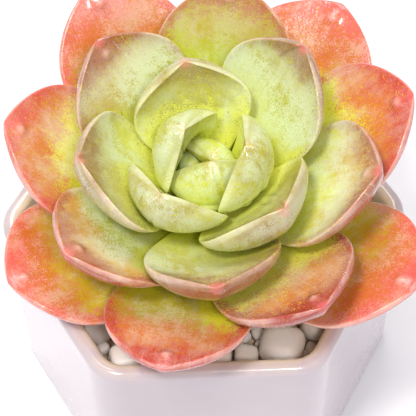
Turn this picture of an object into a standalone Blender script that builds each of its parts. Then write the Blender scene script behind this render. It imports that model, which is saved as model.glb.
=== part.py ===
"""A rosette succulent growing in a six-sided glazed pot topped with pale pebbles.

Metres, +Z up.  The origin is the middle of the pot's underside and -Y is the front.
The rosette has a frame of its own: its origin is the top of the stem and its +Z runs
up the stem, which leans.  Sizes below are millimetres and degrees.
"""

import math

import bmesh
import bpy
import numpy as np
from mathutils import Matrix, Vector

MM = 0.001

# Pot: an upright six-sided prism, flat faces front and back, corners left and right.
POT_FLATS = 80.0
POT_HEIGHT = 57.0
POT_WALL = 3.8
POT_FLOOR = 5.0
POT_CORNER = 9.0
POT_TURN = 1.0
CORNER_STEPS = 5
RIM_ROUND = 1.5
RIM_STEPS = 3
SHARP_EDGE = 50.0

# Drain holes stand round the middle of the floor, which stays solid.
DRAINS = 3
DRAIN_RADIUS = 3.0
DRAIN_RING = 15.0
DRAIN_SIDES = 16

# Soil: fills the pot up to SOIL_BELOW_RIM under the rim.
SOIL_BELOW_RIM = 14.5
SOIL_GAP = 0.4
SOIL_CHAMFER = RIM_ROUND + 3 * SOIL_GAP

# Rosette.
HEART_X = 1.0
HEART_Y = -1.0
HEART_ABOVE_RIM = 14.0
LEAN = 12.0
LEAN_TOWARDS = -105.0
LEAF_DROP = 0.6
FIRST_TURN = 204.0
GOLDEN_ANGLE = 137.5
HEART_RADIUS = 1.0
HEART_SPREAD = 0.35

# Stem: a cone under the leaves, then a straight stalk with its foot in the soil.
STEM_TIP_RADIUS = 1.2
STEM_RADIUS = 4.0
STEM_SPREAD = 0.18
STEM_TOP_DROP = 3.0
STEM_IN_SOIL = 12.0
STEM_SIDES = 20
STEM_GAP = 0.5

# How a leaf changes with its place outward from the heart: place, length, width,
# thickness, share of it above the midline, pitch at its foot, pitch at its tip, cup.
STAGES = (
    (0, 10, 12, 6.0, 0.60, 50, 140, 0.34),
    (1, 13.5, 15, 5.4, 0.50, 48, 138, 0.36),
    (2, 18, 17.5, 5.6, 0.42, 46, 134, 0.40),
    (3, 23, 20, 5.8, 0.36, 42, 122, 0.42),
    (5, 29, 23, 6.0, 0.30, 37, 96, 0.40),
    (7, 33, 27, 5.8, 0.30, 33, 76, 0.34),
    (11, 39, 28.5, 5.6, 0.30, 21, 62, 0.28),
    (15, 45, 30, 5.6, 0.30, 18, 56, 0.22),
    (19, 48, 31, 5.5, 0.30, 13, 44, 0.16),
    (22, 46, 33, 5.2, 0.30, 1, 30, 0.12),
)
LEAVES = 23
# Leaves that stand a few degrees to one side of the even spiral.
TURN_ASIDE = {1: -20, 2: -12, 3: -6, 4: -24, 5: -5, 6: 4, 7: -9, 8: 3, 9: -4, 10: 3}
TURN_ASIDE |= {11: 1, 12: -7, 14: 2, 16: 5, 17: -12, 18: 8, 19: 9, 20: -9, 21: 11, 22: -5}
# Leaves longer or shorter than their stage.
LENGTH_ASIDE = {9: 1.07, 12: 1.03, 13: 0.92, 16: 0.97, 18: 0.94, 21: 0.90}

# Leaf outline as shares of its length and half width, and the powers that shape it.
WIDEST = 0.62
FOOT_WIDTH = 0.28
FOOT_FLARE = 1.3
TIP_BLUNT = 2.2
TIP_ROUND = 0.75
# Thickness at the foot and how it falls to the tip, and the powers of its section.
FOOT_THICK = 0.30
TIP_FALL = 3.0
UPPER_EDGE = 1.6
LOWER_EDGE = 0.85
# Small differences from leaf to leaf.
TILT = 5.0
SWAY = 1.5
LEAF_AROUND = 16
LEAF_RINGS = 12

# Leaves touch in life; here they keep LEAF_GAP apart, and a leaf that is pressed down
# by the ones above keeps PRESSED_THICK of its thickness.
LEAF_GAP = 0.8
PRESSED_THICK = 0.45
PRESS_EASE = 6
LATTICE_U = 32
LATTICE_Q = 24
NEAR_U = 0.03
NEAR_Q = 1.1
FAR_UNDER = 2.0
FREE = 1000.0
SKIN_U = 70
SKIN_AROUND = 100

# Pebbles set by hand: x, y and radius as shares of the pot's inner half width, then
# length, width, height, squareness and turn.
SET_PEBBLES = (
    (0.453, -0.779, 0.141, 1.0, 0.95, 0.90, 3.4, 5),
    (0.657, -0.630, 0.108, 1.0, 0.75, 1.15, 2.6, 60),
    (0.240, -0.823, 0.077, 1.0, 0.90, 0.95, 2.3, 0),
    (0.033, -0.851, 0.119, 1.0, 0.72, 0.80, 2.4, 8),
    (-0.486, -0.840, 0.105, 1.0, 0.90, 0.95, 2.3, 20),
    (-0.646, -0.619, 0.108, 1.0, 0.80, 0.85, 2.4, 60),
    (-0.912, 0.138, 0.116, 1.0, 0.85, 0.90, 2.4, 70),
    (0.925, 0.110, 0.116, 1.0, 0.80, 0.90, 2.4, 110),
)
# The others go in largest first, wherever they fit round the stem, until there are
# PEBBLES; their radii and the middles' reach are shares of the same half width.
PEBBLES = 31
PEBBLE_LEAST = 0.076
PEBBLE_MOST = 0.152
PEBBLE_REACH = 1.105
PEBBLE_FLAT = (0.72, 0.95)
PEBBLE_SQUARE = (2.1, 2.8)
PEBBLE_GAP = 0.5
PEBBLE_LUMPS = 0.04
PEBBLE_TRIES = 11250
PEBBLE_SEED = 11
PEBBLE_AROUND = 10
PEBBLE_RINGS = 7
BARE_ROUND_STEM = 6.4


def clear_scene():
    """Removes whatever the scene starts with."""
    for obj in list(bpy.data.objects):
        bpy.data.objects.remove(obj, do_unlink=True)


def new_collection(name):
    collection = bpy.data.collections.new(name)
    bpy.context.scene.collection.children.link(collection)
    return collection


def material(name, colour, roughness, metallic=0.0):
    mat = bpy.data.materials.new(name)
    mat.use_nodes = True
    principled = mat.node_tree.nodes["Principled BSDF"]
    principled.inputs["Base Color"].default_value = (*colour, 1.0)
    principled.inputs["Roughness"].default_value = roughness
    principled.inputs["Metallic"].default_value = metallic
    mat.diffuse_color = (*colour, 1.0)
    return mat


def mesh_object(name, bm, mat, collection, smooth=True):
    """An object from a bmesh held in millimetres."""
    bmesh.ops.scale(bm, vec=(MM, MM, MM), verts=bm.verts)
    bmesh.ops.recalc_face_normals(bm, faces=bm.faces)
    mesh = bpy.data.meshes.new(name)
    bm.to_mesh(mesh)
    bm.free()
    mesh.polygons.foreach_set("use_smooth", [smooth] * len(mesh.polygons))
    if mat:
        mesh.materials.append(mat)
    obj = bpy.data.objects.new(name, mesh)
    collection.objects.link(obj)
    return obj


def cutter_object(name, bm, cutters):
    cutter = mesh_object(name, bm, None, cutters)
    cutter.hide_render = True
    cutter.display_type = "WIRE"
    return cutter


def cut(obj, cutter):
    modifier = obj.modifiers.new("cut_" + cutter.name, "BOOLEAN")
    modifier.operation = "DIFFERENCE"
    modifier.solver = "EXACT"
    modifier.object = cutter


def round_edges(obj, width, segments):
    """Rounds the sharp edges of a prism and leaves its upright corners alone."""
    modifier = obj.modifiers.new("rounded_edges", "BEVEL")
    modifier.width = width * MM
    modifier.segments = segments
    modifier.limit_method = "ANGLE"
    modifier.angle_limit = math.radians(SHARP_EDGE)


def prism(sides, radius, low, high):
    """A bmesh prism whose first corner lies along +Y."""
    bm = bmesh.new()
    bmesh.ops.create_cone(
        bm,
        cap_ends=True,
        segments=sides,
        radius1=radius,
        radius2=radius,
        depth=high - low,
        matrix=Matrix.Translation((0, 0, (low + high) / 2)),
    )
    return bm


def hexagon_prism(flats, corner, low, high):
    """Six flat sides, two of them facing -Y and +Y, with rounded upright edges."""
    bm = prism(6, flats / math.sqrt(3), low, high)
    quarter = Matrix.Rotation(math.radians(90), 3, "Z")
    bmesh.ops.rotate(bm, matrix=quarter, verts=bm.verts)
    upright = [e for e in bm.edges if (e.verts[0].co - e.verts[1].co).xy.length < MM]
    bmesh.ops.bevel(
        bm,
        geom=upright,
        offset=corner * math.tan(math.radians(30)),
        offset_type="OFFSET",
        segments=CORNER_STEPS,
        profile=0.5,
        affect="EDGES",
    )
    return bm


def inner_half():
    """Half the distance across the flats of the space inside the pot."""
    return POT_FLATS / 2 - POT_WALL


def soil_height():
    return POT_HEIGHT - SOIL_BELOW_RIM


def build_pot(parts, cutters):
    """A six-sided cup with a rounded rim and drain holes round the middle of its floor."""
    glaze = material("glaze", (0.87, 0.86, 0.85), 0.08)
    outside = hexagon_prism(POT_FLATS, POT_CORNER, 0, POT_HEIGHT)
    pot = mesh_object("pot", outside, glaze, parts)
    pot.rotation_euler.z = math.radians(POT_TURN)
    corner = POT_CORNER - POT_WALL
    space = hexagon_prism(2 * inner_half(), corner, POT_FLOOR, 2 * POT_HEIGHT)
    space = cutter_object("pot_space", space, cutters)
    space.rotation_euler.z = math.radians(POT_TURN)
    cut(pot, space)
    for i in range(DRAINS):
        turn = math.radians(90 + 360 * i / DRAINS)
        hole = prism(DRAIN_SIDES, DRAIN_RADIUS, -POT_FLOOR, 2 * POT_FLOOR)
        hole = cutter_object(f"drain_{i + 1}", hole, cutters)
        hole.location = Vector((math.cos(turn), math.sin(turn), 0)) * DRAIN_RING * MM
        cut(pot, hole)
    round_edges(pot, RIM_ROUND, RIM_STEPS)


def build_soil(parts, cutters, rosette):
    """Soil that fills the pot, with a socket where the stem goes in."""
    earth = material("soil", (0.09, 0.06, 0.04), 0.95)
    flats = 2 * (inner_half() - SOIL_GAP)
    low = POT_FLOOR + SOIL_GAP
    block = hexagon_prism(flats, POT_CORNER - POT_WALL, low, soil_height())
    soil = mesh_object("soil", block, earth, parts, smooth=False)
    soil.rotation_euler.z = math.radians(POT_TURN)
    round_edges(soil, SOIL_CHAMFER, 1)
    socket = prism(STEM_SIDES, STEM_RADIUS + STEM_GAP, stem_foot() - STEM_GAP, 0)
    socket = cutter_object("stem_socket", socket, cutters)
    socket.parent = rosette
    cut(soil, socket)


def build_rosette_frame(parts):
    """An empty at the top of the stem, leaning with it."""
    rosette = bpy.data.objects.new("rosette", None)
    parts.objects.link(rosette)
    rosette.location = Vector((HEART_X, HEART_Y, POT_HEIGHT + HEART_ABOVE_RIM)) * MM
    towards = math.radians(LEAN_TOWARDS)
    hinge = Vector((-math.sin(towards), math.cos(towards), 0))
    rosette.rotation_euler = Matrix.Rotation(math.radians(LEAN), 3, hinge).to_euler()
    return rosette


def stem_foot():
    """Height of the stem's lower end in the rosette's frame."""
    return -(HEART_ABOVE_RIM + SOIL_BELOW_RIM + STEM_IN_SOIL)


def stem_radius(drop):
    """Radius of the stem this far below the rosette's origin."""
    grown = STEM_TIP_RADIUS + STEM_SPREAD * (drop - STEM_TOP_DROP)
    return min(max(grown, STEM_TIP_RADIUS), STEM_RADIUS)


def stem_at_soil():
    """(x, y) where the leaning stem goes into the soil."""
    towards, lean = math.radians(LEAN_TOWARDS), math.radians(LEAN)
    back = (HEART_ABOVE_RIM + SOIL_BELOW_RIM) * math.tan(lean)
    return HEART_X - back * math.cos(towards), HEART_Y - back * math.sin(towards)


def build_stem(parts, rosette):
    """A tapering stalk turned about its own axis."""
    bark = material("stem", (0.42, 0.36, 0.22), 0.8)
    full = STEM_TOP_DROP + (STEM_RADIUS - STEM_TIP_RADIUS) / STEM_SPREAD
    profile = (
        (0, -STEM_TOP_DROP),
        (STEM_TIP_RADIUS, -STEM_TOP_DROP),
        (STEM_RADIUS, -full),
        (STEM_RADIUS, stem_foot()),
        (0, stem_foot()),
    )
    mesh = bpy.data.meshes.new("stem")
    points = [(r * MM, 0, z * MM) for r, z in profile]
    mesh.from_pydata(points, [(i, i + 1) for i in range(len(points) - 1)], [])
    mesh.materials.append(bark)
    stem = bpy.data.objects.new("stem", mesh)
    parts.objects.link(stem)
    stem.parent = rosette
    screw = stem.modifiers.new("turned", "SCREW")
    screw.axis = "Z"
    screw.steps = screw.render_steps = STEM_SIDES
    screw.use_merge_vertices = True
    screw.merge_threshold = 0.00001
    screw.use_smooth_shade = True


def wave(place, phase):
    """A repeatable value between -1 and 1 that differs from leaf to leaf."""
    return math.sin(place * 2.4 + phase)


def outline(u):
    """Half width along the leaf: a narrow foot, widest past the middle, a round point."""
    outer = np.clip((u - WIDEST) / (1 - WIDEST), 0, 1)
    inner = np.clip(u / WIDEST, 0, 1)
    swell = np.sin(np.pi / 2 * inner) ** FOOT_FLARE
    foot = FOOT_WIDTH + (1 - FOOT_WIDTH) * swell
    return np.where(u > WIDEST, (1 - outer**TIP_BLUNT) ** TIP_ROUND, foot)


def plumpness(u):
    """Thickness along the leaf: thin at the foot, thickest past the middle."""
    outer = np.clip((u - WIDEST) / (1 - WIDEST), 0, 1)
    inner = np.clip(u / WIDEST, 0, 1)
    foot = FOOT_THICK + (1 - FOOT_THICK) * np.sin(np.pi / 2 * inner)
    return np.where(u > WIDEST, 1 - outer**TIP_FALL, foot)


def turned(angle):
    """Matrix that turns points about Z."""
    c, s = math.cos(angle), math.sin(angle)
    return np.array([[c, -s, 0], [s, c, 0], [0, 0, 1]])


def largest_near(grid):
    """Each cell takes the largest value among itself and its eight neighbours."""
    edge = np.pad(grid, 1, mode="edge")
    rows = np.maximum(np.maximum(edge[:-2], edge[1:-1]), edge[2:])
    return np.maximum(np.maximum(rows[:, :-2], rows[:, 1:-1]), rows[:, 2:])


def mean_near(grid):
    """The mean of each cell's four neighbours."""
    edge = np.pad(grid, 1, mode="edge")
    across = edge[1:-1, :-2] + edge[1:-1, 2:]
    return (edge[:-2, 1:-1] + edge[2:, 1:-1] + across) / 4


class Leaf:
    """A fleshy leaf whose midline is an arc that steepens towards the tip.

    Its frame is x outward, y across and z up the stem.  A point of it is given by u
    from foot to tip, q across as a share of the half width, and h, its height above
    the arc.
    """

    def __init__(self, place):
        stages = np.array(STAGES, float)
        grown = [float(np.interp(place, stages[:, 0], s)) for s in stages.T[1:]]
        length, self.width, self.thick, self.above, pitch, tip_pitch, self.cup = grown
        self.pitch = math.radians(pitch)
        self.bend = math.radians(tip_pitch) - self.pitch
        self.arc = length * LENGTH_ASIDE.get(place, 1) / self.bend
        self.drop = LEAF_DROP * place
        turn = FIRST_TURN - GOLDEN_ANGLE * place + TURN_ASIDE.get(place, 0)
        self.turn = math.radians(turn)
        bare = HEART_RADIUS + HEART_SPREAD * place
        self.foot = max(bare, stem_radius(self.drop) + STEM_GAP)
        self.tilt = math.tan(math.radians(TILT * wave(place, 1.7)))
        self.sway = SWAY * wave(place, 3.4)
        self.pressed = np.zeros((LATTICE_U + 1, LATTICE_Q + 1))

    def half_width(self, u):
        return self.width / 2 * outline(u)

    def faces(self, u, q):
        """Heights of the upper and the lower face."""
        half = self.half_width(u)
        middle = self.cup * half * q**2 + self.tilt * half * q
        fat = self.thick * plumpness(u)
        edge = np.sqrt(np.clip(1 - q**2, 0, 1))
        upper = middle + self.above * fat * edge**UPPER_EDGE
        lower = middle - (1 - self.above) * fat * edge**LOWER_EDGE
        down = upper - self.press(u, q)
        return down, np.minimum(lower, down - PRESSED_THICK * (upper - lower))

    def press(self, u, q):
        """How far the leaves above press this one down, read off its lattice."""
        a = np.clip(u, 0, 1) * LATTICE_U
        b = (np.clip(q, -1, 1) + 1) / 2 * LATTICE_Q
        i = np.minimum(a.astype(int), LATTICE_U - 1)
        j = np.minimum(b.astype(int), LATTICE_Q - 1)
        a, b, grid = a - i, b - j, self.pressed
        low = grid[i, j] * (1 - b) + grid[i, j + 1] * b
        high = grid[i + 1, j] * (1 - b) + grid[i + 1, j + 1] * b
        return low * (1 - a) + high * a

    def points(self, u, q, h):
        """Turns u, q and h into points of the leaf's frame."""
        pitch = self.pitch + self.bend * u
        across = self.half_width(u) * q + self.sway * u**2
        out = self.foot + (self.arc - h) * np.sin(pitch) - self.arc * math.sin(self.pitch)
        up = self.arc * math.cos(self.pitch) - (self.arc - h) * np.cos(pitch)
        return np.stack([out, across, up], axis=-1)

    def measure(self, points):
        """The reverse of points: u, q and h of each point."""
        x = points[:, 0] - self.foot + self.arc * math.sin(self.pitch)
        z = points[:, 2] - self.arc * math.cos(self.pitch)
        u = (np.arctan2(x, -z) - self.pitch) / self.bend
        inside = np.clip(u, 0, 1)
        half = np.maximum(self.half_width(inside), MM)
        q = (points[:, 1] - self.sway * inside**2) / half
        return u, q, self.arc - np.hypot(x, z)

    def surface(self, u, around):
        """Points of the skin; around runs from one margin over the top and back under."""
        q = np.cos(around)
        upper, lower = self.faces(u, q)
        return self.points(u, q, np.where(np.sin(around) >= 0, upper, lower))

    def to_rosette(self, points):
        return points @ turned(self.turn).T - (0, 0, self.drop)

    def from_rosette(self, points):
        return (points + (0, 0, self.drop)) @ turned(self.turn)

    def yield_to(self, above):
        """Presses the leaf down wherever points of the leaves above come too near."""
        u, q, h = self.measure(self.from_rosette(above))
        near = (np.abs(u - 0.5) < 0.5 + NEAR_U) & (np.abs(q) < NEAR_Q)
        near &= h > -FAR_UNDER * self.thick
        i = np.clip(np.rint(u[near] * LATTICE_U), 0, LATTICE_U).astype(int)
        j = np.clip(np.rint((q[near] + 1) / 2 * LATTICE_Q), 0, LATTICE_Q).astype(int)
        ceiling = np.full(self.pressed.shape, FREE)
        np.minimum.at(ceiling, (i, j), h[near])
        ceiling = -largest_near(-ceiling)
        rows, columns = np.linspace(0, 1, LATTICE_U + 1), np.linspace(-1, 1, LATTICE_Q + 1)
        upper, _ = self.faces(*np.meshgrid(rows, columns, indexing="ij"))
        pressed = np.clip(upper + LEAF_GAP - ceiling, 0, None)
        for _ in range(PRESS_EASE):
            pressed = np.maximum(pressed, mean_near(pressed))
        self.pressed = pressed

    def skin(self):
        """Many points of the finished skin, in the rosette's frame."""
        along = (1 - np.cos(np.linspace(0, np.pi, SKIN_U))) / 2
        around = np.linspace(0, 2 * np.pi, SKIN_AROUND)
        u, around = np.meshgrid(along, around, indexing="ij")
        return self.to_rosette(self.surface(u, around).reshape(-1, 3))


def grown_leaves():
    """Every leaf from the heart outward, each pressed down by those inside it."""
    leaves, above = [], np.empty((0, 3))
    for place in range(LEAVES):
        leaf = Leaf(place)
        leaf.yield_to(above)
        above = np.concatenate([above, leaf.skin()])
        leaves.append(leaf)
    return leaves


def leaf_material(place):
    """Lime green at the heart, through yellow green, to coral at the outside."""
    places = (0, 7, 11, 15, 22)
    red, green = (0.55, 0.52, 0.66, 0.80, 0.82), (0.66, 0.56, 0.38, 0.22, 0.10)
    blue = (0.24, 0.18, 0.14, 0.12, 0.07)
    colour = [float(np.interp(place, places, values)) for values in (red, green, blue)]
    return material(f"leaf_{place + 1:02d}", colour, 0.45)


def build_leaf(place, leaf, parts, rosette):
    """A sphere drawn out from foot to tip and shaped by the leaf's own rule."""
    bm = bmesh.new()
    bmesh.ops.create_uvsphere(
        bm, u_segments=LEAF_AROUND, v_segments=LEAF_RINGS, radius=1
    )
    ball = np.array([v.co for v in bm.verts])
    u = np.clip((1 + ball[:, 2]) / 2, 0, 1)
    skin = leaf.surface(u, np.arctan2(ball[:, 1], ball[:, 0]))
    for vert, point in zip(bm.verts, skin):
        vert.co = point
    obj = mesh_object(f"leaf_{place + 1:02d}", bm, leaf_material(place), parts)
    obj.location.z = -leaf.drop * MM
    obj.rotation_euler.z = leaf.turn
    obj.parent = rosette


def in_pot(x, y, r):
    """True where a round thing keeps off the pot's walls and the stem."""
    room = inner_half() - r - PEBBLE_GAP
    sides = [math.radians(30 + 60 * i + POT_TURN) for i in range(6)]
    fits = all(x * math.cos(a) + y * math.sin(a) < room for a in sides)
    stem_x, stem_y = stem_at_soil()
    return fits and math.hypot(x - stem_x, y - stem_y) > BARE_ROUND_STEM + r


def clear_of(x, y, r, places):
    return all(math.hypot(x - a, y - b) > r + c + PEBBLE_GAP for a, b, c in places)


def pebble_places():
    """(x, y, radius) of each pebble: the set ones, then others wherever they fit."""
    rng = np.random.default_rng(PEBBLE_SEED)
    places = [tuple(inner_half() * v for v in pebble[:3]) for pebble in SET_PEBBLES]
    reach = PEBBLE_REACH * inner_half()
    for r in inner_half() * np.linspace(PEBBLE_MOST, PEBBLE_LEAST, PEBBLE_TRIES):
        x, y = rng.uniform(-reach, reach, 2)
        if len(places) < PEBBLES and in_pot(x, y, r) and clear_of(x, y, r, places):
            places.append((x, y, r))
    return places


def pebble_mesh(rng, radius, long, wide, high, square):
    """A ball squared off and lumped a little, and how far it reaches down."""
    bm = bmesh.new()
    bmesh.ops.create_uvsphere(
        bm, u_segments=PEBBLE_AROUND, v_segments=PEBBLE_RINGS, radius=1
    )
    ball = np.array([v.co for v in bm.verts])
    size = (np.abs(ball) ** square).sum(axis=1) ** (-1 / square)
    lumps = np.sin(ball @ rng.uniform(-2, 2, (3, 3)) + rng.uniform(0, 6, 3))
    size *= 1 + PEBBLE_LUMPS * lumps.sum(axis=1)
    ball *= size[:, None] * (long, wide, high)
    ball *= radius / np.hypot(ball[:, 0], ball[:, 1]).max()
    for vert, point in zip(bm.verts, ball):
        vert.co = point
    return bm, float(-ball[:, 2].min())


def build_pebbles(parts):
    """Pale pebbles lying on the soil."""
    stone = material("pebble", (0.80, 0.77, 0.72), 0.6)
    rng = np.random.default_rng(PEBBLE_SEED)
    for i, (x, y, r) in enumerate(pebble_places()):
        chosen = (1.0, *rng.uniform(*PEBBLE_FLAT, 2), rng.uniform(*PEBBLE_SQUARE))
        turn = rng.uniform(0, 180)
        if i < len(SET_PEBBLES):
            *chosen, turn = SET_PEBBLES[i][3:]
        bm, below = pebble_mesh(rng, r, *chosen)
        pebble = mesh_object(f"pebble_{i + 1:02d}", bm, stone, parts)
        pebble.location = Vector((x, y, soil_height() + SOIL_GAP + below)) * MM
        pebble.rotation_euler.z = math.radians(turn)


def main():
    clear_scene()
    parts = new_collection("potted_succulent")
    cutters = new_collection("cutters")
    cutters.hide_render = True
    rosette = build_rosette_frame(parts)
    build_pot(parts, cutters)
    build_soil(parts, cutters, rosette)
    build_stem(parts, rosette)
    for place, leaf in enumerate(grown_leaves()):
        build_leaf(place, leaf, parts, rosette)
    build_pebbles(parts)


main()
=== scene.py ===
"""Looks for a potted rosette succulent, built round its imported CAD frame.

Metres, +Z up.  The origin is the middle of the pot's underside and -Y is the front.
Leaf sizes are millimetres in the rosette's own frame, which starts at the top of the
stem and leans with it; they become metres when a mesh is made.
"""

import logging
import math
from dataclasses import dataclass, field
from enum import Enum

import bpy
import numpy as np
from mathutils import Matrix, Vector


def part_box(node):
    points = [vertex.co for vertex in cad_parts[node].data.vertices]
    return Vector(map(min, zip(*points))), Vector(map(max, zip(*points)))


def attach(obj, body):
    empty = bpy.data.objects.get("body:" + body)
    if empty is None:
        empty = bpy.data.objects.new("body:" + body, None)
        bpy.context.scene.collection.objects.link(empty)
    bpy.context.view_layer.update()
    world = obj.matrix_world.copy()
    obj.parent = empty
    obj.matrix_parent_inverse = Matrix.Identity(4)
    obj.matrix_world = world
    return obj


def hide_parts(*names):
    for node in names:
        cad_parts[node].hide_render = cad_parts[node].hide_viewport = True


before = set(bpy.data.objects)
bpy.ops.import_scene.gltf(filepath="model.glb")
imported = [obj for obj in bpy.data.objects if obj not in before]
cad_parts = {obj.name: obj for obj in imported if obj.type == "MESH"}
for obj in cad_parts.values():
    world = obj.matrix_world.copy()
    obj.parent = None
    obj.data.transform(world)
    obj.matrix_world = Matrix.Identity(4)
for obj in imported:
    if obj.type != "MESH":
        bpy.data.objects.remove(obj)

LOG = logging.getLogger("potted_succulent")
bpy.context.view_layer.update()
MM = 0.001
ROOT = "root"
FIRST_MIDDLE_LEAF = 8
FIRST_OUTER_LEAF = 15
STONE_FINISHES = 4
Colour = tuple[float, float, float]
Array = np.ndarray
Socket = bpy.types.NodeSocket


# --------------------------------------------------------------------------- meshes


def grid_faces(rows: int, columns: int, wrap: bool) -> Array:
    """Quads of a grid of points numbered row by row.

    Args:
        rows: How many rows of points.
        columns: How many points in a row.
        wrap: True where the last column joins the first.

    Returns:
        One row of four point numbers for each quad.
    """
    across = columns if wrap else columns - 1
    i, j = np.meshgrid(np.arange(rows - 1), np.arange(across), indexing="ij")
    k = (j + 1) % columns
    corners = (i * columns + j, i * columns + k, (i + 1) * columns + k, (i + 1) * columns + j)
    return np.stack(corners, axis=-1).reshape(-1, 4)


def mesh_piece(
    name: str,
    points: Array,
    quads: Array,
    triangles: Array | None = None,
    values: dict[str, Array] | None = None,
) -> bpy.types.Object:
    """Makes a smooth mesh object from arrays.

    Args:
        name: Name of the piece.
        points: Points in metres, one per row.
        quads: Point numbers of the four-sided faces.
        triangles: Point numbers of the three-sided faces.
        values: Named numbers, one for each point, for the materials to read.

    Returns:
        The new object, linked to the scene.
    """
    mesh = bpy.data.meshes.new(name)
    sides = [np.full(len(quads), 4)]
    corners = [np.asarray(quads).reshape(-1)]
    if triangles is not None:
        sides.append(np.full(len(triangles), 3))
        corners.append(np.asarray(triangles).reshape(-1))
    count, loops = np.concatenate(sides), np.concatenate(corners)
    mesh.vertices.add(len(points))
    mesh.vertices.foreach_set("co", np.asarray(points, np.float32).reshape(-1))
    mesh.loops.add(len(loops))
    mesh.loops.foreach_set("vertex_index", loops.astype(np.int32))
    mesh.polygons.add(len(count))
    starts = np.concatenate([[0], np.cumsum(count)[:-1]])
    mesh.polygons.foreach_set("loop_start", starts.astype(np.int32))
    mesh.polygons.foreach_set("loop_total", count.astype(np.int32))
    mesh.update(calc_edges=True)
    mesh.polygons.foreach_set("use_smooth", np.ones(len(count), bool))
    for label, numbers in (values or {}).items():
        layer = mesh.attributes.new(label, "FLOAT", "POINT")
        layer.data.foreach_set("value", np.asarray(numbers, np.float32).reshape(-1))
    mesh.validate()
    piece = bpy.data.objects.new(name, mesh)
    bpy.context.scene.collection.objects.link(piece)
    return piece


def capped_tube(rings: Array) -> tuple[Array, Array, Array]:
    """Closes a tube of rings whose first and last ring are each a single point.

    Every face is turned round if the closed mesh's volume comes out negative.

    Args:
        rings: Points shaped (rows, columns, 3); all of row 0 and of the last row
            are that end's one point.

    Returns:
        The points, the quads between the rings and the triangles of the two ends,
        facing outward.
    """
    rows, columns, _ = rings.shape
    middle = rings[1:-1].reshape(-1, 3)
    points = np.concatenate([rings[0, :1], middle, rings[-1, :1]])
    quads = grid_faces(rows - 2, columns, wrap=True) + 1
    j = np.arange(columns)
    k = (j + 1) % columns
    last = len(points) - 1
    base = last - columns
    low = np.stack([np.zeros_like(j), k + 1, j + 1], axis=1)
    high = np.stack([np.full_like(j, last), base + j, base + k], axis=1)
    triangles = np.concatenate([low, high])
    halves = np.concatenate([quads[:, :3], quads[:, [0, 2, 3]], triangles])
    if np.linalg.det(points[halves]).sum() < 0:
        return points, quads[:, ::-1], triangles[:, ::-1]
    return points, quads, triangles


def tube_piece(
    name: str, rings: Array, values: dict[str, Array] | None = None
) -> bpy.types.Object:
    """Makes a closed tube of rings into a piece.

    Args:
        name: Name of the piece.
        rings: Points in metres, as capped_tube takes them.
        values: Named numbers in rows and columns like the rings, or one for each row.

    Returns:
        The new object.
    """
    flat = {}
    for label, numbers in (values or {}).items():
        grid = np.broadcast_to(numbers, rings.shape[:2])
        flat[label] = np.concatenate([grid[0, :1], grid[1:-1].reshape(-1), grid[-1, :1]])
    return mesh_piece(name, *capped_tube(rings), flat)


def full_turn(steps: int) -> Array:
    """Directions once round, in radians, as one row."""
    return np.linspace(0, 2 * np.pi, steps, endpoint=False)[None, :]


def spin(x: Array, y: Array, degrees: float) -> tuple[Array, Array]:
    """Turns x and y about the middle."""
    c, s = math.cos(math.radians(degrees)), math.sin(math.radians(degrees))
    return x * c - y * s, x * s + y * c


def ease(low: float, high: float, value: Array) -> Array:
    """Rises smoothly from 0 at low to 1 at high: 3 t squared less 2 t cubed."""
    t = np.clip((value - low) / (high - low), 0, 1)
    return t * t * (3 - 2 * t)


def dress(piece: bpy.types.Object, finish: bpy.types.Material, slot: str, *nodes: str) -> None:
    """Gives a piece its material and its place in the frame.

    Args:
        piece: The new piece.
        finish: Its material.
        slot: Name of a material slot; not used.
        *nodes: The CAD nodes it stands for.
    """
    piece.data.materials.clear()
    piece.data.materials.append(finish)
    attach(piece, ROOT)
    if nodes:
        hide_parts(*nodes)
    LOG.info("%s: %d faces", piece.name, len(piece.data.polygons))


# ---------------------------------------------------------------------------- nodes


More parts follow.
